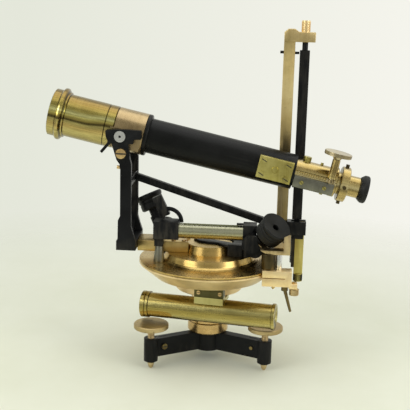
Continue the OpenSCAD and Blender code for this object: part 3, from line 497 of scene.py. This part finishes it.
def softened(name, width):
    """A copy that replaces a CAD node, with its edges broken by a round of the given width"""
    bm = bmesh.new()
    bm.from_mesh(nodes[name].data)
    bmesh.ops.remove_doubles(bm, verts=bm.verts, dist=MERGE_WITHIN)
    bmesh.ops.dissolve_limit(bm, angle_limit=FLAT_WITHIN, verts=bm.verts, edges=bm.edges)
    mesh = bpy.data.meshes.new(name + ".soft")
    bm.to_mesh(mesh)
    bm.free()
    mesh.materials.append(FINISH[name])
    piece = bpy.data.objects.new(name + ".soft", mesh)
    bpy.context.collection.objects.link(piece)
    mod = piece.modifiers.new("broken edges", "BEVEL")
    mod.width = width
    mod.segments = 2
    mod.limit_method = "ANGLE"
    mod.angle_limit = BROKEN_FROM
    mod.use_clamp_overlap = True
    done = bpy.data.meshes.new_from_object(piece.evaluated_get(bpy.context.evaluated_depsgraph_get()))
    piece.modifiers.clear()
    piece.data = done
    done.shade_smooth()
    done.set_sharp_from_angle(angle=SHARP_FROM)
    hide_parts(name)
    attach(piece, BODY[name])
    return piece


SOFT_EDGES = {
    "tribrach": 0.0012, "fork": 0.0007, "bearing_blocks": 0.0008, "brace": 0.0007, "column_beam": 0.0008,
    "column": 0.0006, "rule_guide": 0.0007, "level_carrier": 0.0008, "clamp_bracket": 0.0007,
    "clamp_block": 0.0007, "fork_beam": 0.0006, "rule": 0.0005, "rule_foot": 0.0005, "side_plate": 0.0005,
    "guide_plate": 0.0004, "slider": 0.0008, "watch_saddle": 0.0007,
}
for piece_name, edge in SOFT_EDGES.items():
    softened(piece_name, edge)

# The two posts of the clamp are of different metals
STEEL_POST_FROM_X = 0.090
posts = softened("clamp_posts", 0.0004)
posts.data.materials.append(bright_steel)
for face in posts.data.polygons:
    face.material_index = 1 if face.center.x > STEEL_POST_FROM_X else 0

# The leg under the level and the two pins on the column are dark
PINS_FROM_Z = 0.400
LEG_X, LEG_TO_Y, LEG_TO_Z = (-0.080, -0.055), -0.016, 0.155
screws = softened("alidade_screws", 0.0002)
for finish in (grey_steel, enamel):
    screws.data.materials.append(finish)
for face in screws.data.polygons:
    middle = face.center
    if middle.z > PINS_FROM_Z:
        face.material_index = 2
    elif LEG_X[0] < middle.x < LEG_X[1] and middle.y < LEG_TO_Y and middle.z < LEG_TO_Z:
        face.material_index = 1


# Repeated details: each is a Geometry Nodes tree with named sizes, turned into a plain mesh

def node_tree(name, sizes):
    """An empty Geometry Nodes tree with named inputs for its sizes and its finish"""
    tree = bpy.data.node_groups.new(name, "GeometryNodeTree")
    for label, kind, value in sizes:
        tree.interface.new_socket(label, in_out="INPUT", socket_type=kind).default_value = value
    tree.interface.new_socket("Finish", in_out="INPUT", socket_type="NodeSocketMaterial")
    tree.interface.new_socket("Geometry", in_out="OUTPUT", socket_type="NodeSocketGeometry")
    return tree, tree.nodes.new("NodeGroupInput"), tree.nodes.new("NodeGroupOutput")


def close_tree(tree, given, out, geometry):
    """Ends a tree in Realize Instances and Set Material"""
    real = tree.nodes.new("GeometryNodeRealizeInstances")
    paint = tree.nodes.new("GeometryNodeSetMaterial")
    tree.links.new(geometry, real.inputs["Geometry"])
    tree.links.new(real.outputs["Geometry"], paint.inputs["Geometry"])
    tree.links.new(given.outputs["Finish"], paint.inputs["Material"])
    tree.links.new(paint.outputs["Geometry"], out.inputs["Geometry"])
    return tree


FLOAT, INT = "NodeSocketFloat", "NodeSocketInt"


def ridge_tree():
    """Ridges standing round a cylinder along local Z, from z = 0 up"""
    sizes = [("Count", INT, 40), ("Radius", FLOAT, 0.01), ("Height", FLOAT, 0.004), ("Width", FLOAT, 0.0006),
             ("Depth", FLOAT, 0.0004)]
    tree, given, out = node_tree("milled edge", sizes)
    ring = tree.nodes.new("GeometryNodeMeshCircle")
    tree.links.new(given.outputs["Count"], ring.inputs["Vertices"])
    tree.links.new(given.outputs["Radius"], ring.inputs["Radius"])
    size = tree.nodes.new("ShaderNodeCombineXYZ")
    for axis, label in (("X", "Depth"), ("Y", "Width"), ("Z", "Height")):
        tree.links.new(given.outputs[label], size.inputs[axis])
    ridge = tree.nodes.new("GeometryNodeMeshCube")
    tree.links.new(size.outputs["Vector"], ridge.inputs["Size"])
    lift = tree.nodes.new("ShaderNodeMath")
    lift.operation = "MULTIPLY"
    lift.inputs[1].default_value = 0.5
    tree.links.new(given.outputs["Height"], lift.inputs[0])
    rise = tree.nodes.new("ShaderNodeCombineXYZ")
    tree.links.new(lift.outputs[0], rise.inputs["Z"])
    place = tree.nodes.new("GeometryNodeInputPosition")
    face = tree.nodes.new("FunctionNodeAlignRotationToVector")
    face.axis = "X"
    tree.links.new(place.outputs["Position"], face.inputs["Vector"])
    spread = tree.nodes.new("GeometryNodeInstanceOnPoints")
    tree.links.new(ring.outputs["Mesh"], spread.inputs["Points"])
    tree.links.new(ridge.outputs["Mesh"], spread.inputs["Instance"])
    tree.links.new(face.outputs["Rotation"], spread.inputs["Rotation"])
    move = tree.nodes.new("GeometryNodeTransform")
    tree.links.new(spread.outputs["Instances"], move.inputs["Geometry"])
    tree.links.new(rise.outputs["Vector"], move.inputs["Translation"])
    return close_tree(tree, given, out, move.outputs["Geometry"])


def thread_tree():
    """A screw thread wound along local Z"""
    sizes = [("Turns", FLOAT, 10.0), ("Radius", FLOAT, 0.004), ("Length", FLOAT, 0.01),
             ("Depth", FLOAT, 0.0004)]
    tree, given, out = node_tree("screw thread", sizes)
    wind = tree.nodes.new("GeometryNodeCurveSpiral")
    wind.inputs["Resolution"].default_value = 24
    tree.links.new(given.outputs["Turns"], wind.inputs["Rotations"])
    tree.links.new(given.outputs["Length"], wind.inputs["Height"])
    for end in ("Start Radius", "End Radius"):
        tree.links.new(given.outputs["Radius"], wind.inputs[end])
    section = tree.nodes.new("GeometryNodeCurvePrimitiveCircle")
    section.inputs["Resolution"].default_value = 4
    tree.links.new(given.outputs["Depth"], section.inputs["Radius"])
    sweep = tree.nodes.new("GeometryNodeCurveToMesh")
    sweep.inputs["Fill Caps"].default_value = True
    tree.links.new(wind.outputs["Curve"], sweep.inputs["Curve"])
    tree.links.new(section.outputs["Curve"], sweep.inputs["Profile Curve"])
    return close_tree(tree, given, out, sweep.outputs["Mesh"])


def upright(origin, axis):
    """Turns local Z to an axis and moves it to a place"""
    return Matrix.Translation(origin) @ axis.to_track_quat("Z", "Y").to_matrix().to_4x4()


def grown(name, tree, sizes, finish, places, body):
    """Runs a tree once for each place, joins the results as one plain mesh and lets it ride"""
    whole = bmesh.new()
    for place in places:
        holder = bpy.data.objects.new(name, bpy.data.meshes.new(name))
        bpy.context.collection.objects.link(holder)
        mod = holder.modifiers.new("grow", "NODES")
        mod.node_group = tree
        for item in tree.interface.items_tree:
            if item.item_type == "SOCKET" and item.in_out == "INPUT":
                if item.name == "Finish":
                    mod[item.identifier] = finish
                elif item.name in sizes:
                    mod[item.identifier] = sizes[item.name]
        mesh = bpy.data.meshes.new_from_object(holder.evaluated_get(bpy.context.evaluated_depsgraph_get()))
        mesh.transform(place)
        whole.from_mesh(mesh)
        bpy.data.objects.remove(holder)
        bpy.data.meshes.remove(mesh)
    mesh = bpy.data.meshes.new(name)
    whole.to_mesh(mesh)
    whole.free()
    mesh.materials.append(finish)
    piece = bpy.data.objects.new(name, mesh)
    bpy.context.collection.objects.link(piece)
    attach(piece, body)
    return piece


milled = ridge_tree()
wound = thread_tree()


def tube_point(u, y, w):
    """A point of the telescope: along the tube, across, and up from the trunnion axis"""
    return TRUNNION + TUBE_DIR * u + Vector((0, y, 0)) + TUBE_UP * w


def milling(count, radius, height, width=0.0005, depth=0.0006):
    return {"Count": count, "Radius": radius, "Height": height, "Width": width, "Depth": depth}


grown("rule_cap_milling", milled, milling(36, 0.0056, 0.0125), FINISH["rule_cap"],
      [Matrix.Translation((RULE.x, RULE.y, 0.4382))], "alidade")
grown("slow_motion_milling", milled, milling(38, 0.0060, 0.0074), FINISH["tangent_screw"],
      [Matrix.Translation((0.1154, -0.059, 0.1013))], "slow_motion")
grown("top_knob_milling", milled, milling(32, 0.0051, 0.0052), FINISH["telescope_screws"],
      [upright(tube_point(0.247, 0, 0.0235), TUBE_UP)], "telescope")
grown("rule_end_milling", milled, milling(40, 0.0063, 0.0096), dark_steel,
      [Matrix.Translation((0.1232, RULE.y, 0.0926))], "sliding_rule")
grown("lift_knob_milling", milled, milling(48, 0.009, 0.0066, width=0.0006), FINISH["lift_pinion"],
      [upright(Vector((0.1066, RULE.y + 0.0185, 0.165)), Vector((0, 1, 0)))], "lift")
grown("focus_disc_milling", milled, milling(110, 0.0179, 0.0036, depth=0.0005), FINISH["focus_knob"],
      [upright(tube_point(0.282, -0.0244, 0.0439), TUBE_UP)], "focus")
for i, foot in enumerate(FEET):
    grown("levelling_thread_%d" % (i + 1), wound,
          {"Turns": 13.0, "Radius": 0.0042, "Length": 0.0108, "Depth": 0.00042}, gold_feet[i],
          [Matrix.Translation(foot + UP * 0.0262)], "foot_%d" % (i + 1))


# Painted shade: dark pieces at the bottom of the slots of the screws and of the holes. Their places and sizes
# are the source's, in millimetres

def turned_as(x, y, z):
    """The rotation that the part's source writes as three turns, in degrees"""
    return (Matrix.Rotation(math.radians(z), 4, "Z") @ Matrix.Rotation(math.radians(y), 4, "Y")
            @ Matrix.Rotation(math.radians(x), 4, "X"))


# A slot's painted shade filling as shares of its screw head: length and width of the radius, depth and place of
# the height
SLOT_LENGTH, SLOT_WIDTH, SLOT_DEPTH, SLOT_PLACE = 1.9, 0.28, 0.3, 0.69
HOLE_SHADE_DEPTH = 0.3 * MM


def dark_slots(name, body, places):
    """A dark filling of painted shade at the bottom of each slot: places are matrices with the head's radius and
    height
    """
    whole = bmesh.new()
    for place, r, h in places:
        size = Matrix.Diagonal((r * SLOT_LENGTH, r * SLOT_WIDTH, h * SLOT_DEPTH, 1))
        bmesh.ops.create_cube(whole, size=1, matrix=place @ Matrix.Translation((0, 0, h * SLOT_PLACE)) @ size)
    return dark_piece(name, whole, body)


def dark_discs(name, body, places):
    """A dark disc of painted shade at the bottom of each hole: places are matrices with the disc's radius"""
    whole = bmesh.new()
    for place, r in places:
        bmesh.ops.create_cone(whole, cap_ends=True, segments=32, radius1=r, radius2=r, depth=HOLE_SHADE_DEPTH,
                              matrix=place)
    return dark_piece(name, whole, body)


def dark_piece(name, whole, body):
    """Turns built-up fillings into one piece that rides on a body"""
    mesh = bpy.data.meshes.new(name)
    whole.to_mesh(mesh)
    whole.free()
    mesh.materials.append(slot_shade)
    piece = bpy.data.objects.new(name, mesh)
    bpy.context.collection.objects.link(piece)
    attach(piece, body)
    return piece


def at(x, y, z):
    """A place given in millimetres"""
    return Matrix.Translation((x * MM, y * MM, z * MM))


plate_heads = [(TUBE_FRAME @ at(u, -25.6, w) @ turned_as(90, 20, 0), 3.9 * MM, 1.5 * MM)
               for u in (190.8, 224) for w in (-4.2, 14.6)]
guide_heads = [(TUBE_FRAME @ at(u, -22.4, -3.2) @ turned_as(90, 35, 0), 2.6 * MM, 1.2 * MM)
               for u in (245.4, 276.3)]
dark_slots("telescope_slots", "telescope", plate_heads + guide_heads)
dark_discs("trunnion_centres", "telescope",
           [(TUBE_FRAME @ at(0, y, 0) @ turned_as(90, 0, 0), 1.68 * MM) for y in (-35.2, 35.2)])
fork_heads = [(at(-117.5, -38.7, 277) @ turned_as(90, 0, 0), 6.6 * MM, 4 * MM),
              (at(-117.5, 38.7, 277) @ turned_as(-90, 0, 0), 6.6 * MM, 4 * MM)]
foot_heads = [(at(-124, y, z) @ turned_as(0, -90, 0), 2.3 * MM, 1.2 * MM)
              for y in (-14, 14) for z in (148, 153)]
beam_heads = [(at(x, y, 155), 3 * MM, 1.6 * MM) for x, y in
              ((-49, -11), (-49, 11), (-35, -11), (-35, 11), (36, 24), (36, 34), (50, 24), (50, 34))]
dark_slots("alidade_slots", "alidade", fork_heads + foot_heads + beam_heads)
dark_slots("saddle_slots", "limb",
           [(LIMB_FRAME @ at(x, -60, 98.5) @ turned_as(90, 0, 0), 2.6 * MM, 1.6 * MM) for x in (0, 29)])
dark_slots("arm_slots", "base",
           [(turned_as(0, 0, a) @ at(72, 6.5, 15) @ turned_as(-90, 0, 0), 4 * MM, 2 * MM)
            for a in FOOT_TURNS])


# Studio: pale floor, soft lamps, camera at the photograph's place

PAPER_LEFT = (0.78, 0.80, 0.705)
PAPER_RIGHT = (0.915, 0.91, 0.845)
PAPER_FLOOR_DARK = (0.70, 0.715, 0.58)
PAPER_FLOOR_LIGHT = (0.74, 0.755, 0.63)
ROOM = 0.5  # how bright the mirrored room is beside the paper
SKY = (0.96, 0.98, 0.95, 1)
SKY_STRENGTH = 0.64
WARM, PLAIN = (1.0, 0.98, 0.94), (1, 1, 1)
FLOOR_SIZE = 6
FLOOR_GAP = 0.0002
FADE_FROM, FADE_TO = 0.30, 0.95  # where the floor fades, in metres from its middle
CAMERA_EYE = Vector((0.06983, -1.19812, 0.47697))
CAMERA_AIM = Vector((-0.00819, 0.0, 0.20355))
CAMERA_LEAN = 0.0256
CAMERA_LENS = 79.5


def studio():
    """The paper floor, the background and the soft lamps"""
    bpy.ops.mesh.primitive_plane_add(size=FLOOR_SIZE, location=(0, 0, cad_box[0][2] - FLOOR_GAP))
    floor = bpy.context.object
    floor.name = "floor"
    m, t, skin = new_material("pale paper")
    where = object_place(t)
    crease = noise(t, where, scale=5, detail=4, rough=0.6)
    t.links.new(ramp(t, crease, [(0.35, PAPER_FLOOR_DARK), (0.65, PAPER_FLOOR_LIGHT)]),
                skin.inputs["Base Color"])
    skin.inputs["Roughness"].default_value = 0.9
    skin.inputs["Specular IOR Level"].default_value = 0.1
    bump(t, skin, noise(t, where, scale=900, detail=3), strength=0.1, distance=0.0001)
    # the paper fades into the background a little way behind the object
    reach = add(t, "ShaderNodeVectorMath", operation="LENGTH")
    t.links.new(where, reach.inputs[0])
    fade = grey(t, reach.outputs["Value"], low=0, high=1, start=FADE_FROM, end=FADE_TO)
    clear = t.nodes.new("ShaderNodeBsdfTransparent")
    mix = t.nodes.new("ShaderNodeMixShader")
    t.links.new(fade, mix.inputs["Fac"])
    t.links.new(skin.outputs["BSDF"], mix.inputs[1])
    t.links.new(clear.outputs[0], mix.inputs[2])
    t.links.new(mix.outputs[0], [n for n in t.nodes if n.type == "OUTPUT_MATERIAL"][0].inputs["Surface"])
    floor.data.materials.append(m)
    world = bpy.data.worlds.new("studio")
    bpy.context.scene.world = world
    world.use_nodes = True
    t = world.node_tree
    t.nodes.clear()
    out = t.nodes.new("ShaderNodeOutputWorld")
    lit = t.nodes.new("ShaderNodeBackground")
    lit.inputs["Color"].default_value = SKY
    lit.inputs["Strength"].default_value = SKY_STRENGTH
    seen = t.nodes.new("ShaderNodeBackground")
    around = add(t, "ShaderNodeTexCoord").outputs["Generated"]
    sides = add(t, "ShaderNodeSeparateXYZ")
    t.links.new(around, sides.inputs[0])
    paper = ramp(t, grey(t, sides.outputs["X"], low=0, high=1, start=-0.26, end=0.16),
                 [(0, PAPER_LEFT), (1, PAPER_RIGHT)])
    rays = t.nodes.new("ShaderNodeLightPath")
    # polished metal mirrors a darker room in front of the paper
    room = math_node(t, "MAXIMUM", grey(t, sides.outputs["Y"], low=ROOM, high=1, start=-0.75, end=0.15),
                     math_node(t, "SUBTRACT", 1.0, rays.outputs["Is Glossy Ray"]))
    t.links.new(blend_colour(t, 1.0, paper, room, "MULTIPLY"), seen.inputs["Color"])
    seen.inputs["Strength"].default_value = 1.0
    mirrored = math_node(t, "MAXIMUM", rays.outputs["Is Glossy Ray"], rays.outputs["Is Transmission Ray"])
    direct = math_node(t, "MAXIMUM", rays.outputs["Is Camera Ray"], mirrored)
    mix = t.nodes.new("ShaderNodeMixShader")
    t.links.new(direct, mix.inputs["Fac"])
    t.links.new(lit.outputs[0], mix.inputs[1])
    t.links.new(seen.outputs[0], mix.inputs[2])
    t.links.new(mix.outputs[0], out.inputs["Surface"])

    target = Vector((0, 0, 0.2))

    def lamp(name, place, size, power, colour):
        data = bpy.data.lights.new(name, "AREA")
        data.shape = "RECTANGLE"
        data.size, data.size_y = size
        data.energy = power
        data.color = colour
        obj = bpy.data.objects.new(name, data)
        bpy.context.collection.objects.link(obj)
        obj.location = place
        obj.rotation_euler = (target - Vector(place)).to_track_quat("-Z", "Y").to_euler()

    lamp("left softbox", (-1.15, -1.0, 0.95), size=(0.9, 1.2), power=10, colour=WARM)
    lamp("right softbox", (1.2, -0.75, 0.9), size=(0.8, 1.1), power=8, colour=WARM)
    lamp("top softbox", (0.0, 0.1, 1.7), size=(2.0, 1.6), power=11, colour=PLAIN)


def camera():
    """The camera at the photograph's place, leaning a little as the photograph does"""
    data = bpy.data.cameras.new("camera")
    data.sensor_width = 36.0
    data.lens = CAMERA_LENS
    data.clip_start = 0.05
    obj = bpy.data.objects.new("camera", data)
    bpy.context.collection.objects.link(obj)
    back = (CAMERA_EYE - CAMERA_AIM).normalized()
    right = UP.cross(back).normalized()
    up = back.cross(right)
    leaning_right = (right + up * CAMERA_LEAN).normalized()
    leaning_up = (up - right * CAMERA_LEAN).normalized()
    turn = Matrix((leaning_right, leaning_up, back)).transposed().to_4x4()
    obj.matrix_world = Matrix.Translation(CAMERA_EYE) @ turn
    bpy.context.scene.camera = obj


studio()
camera()
bpy.context.scene.view_settings.view_transform = "Standard"
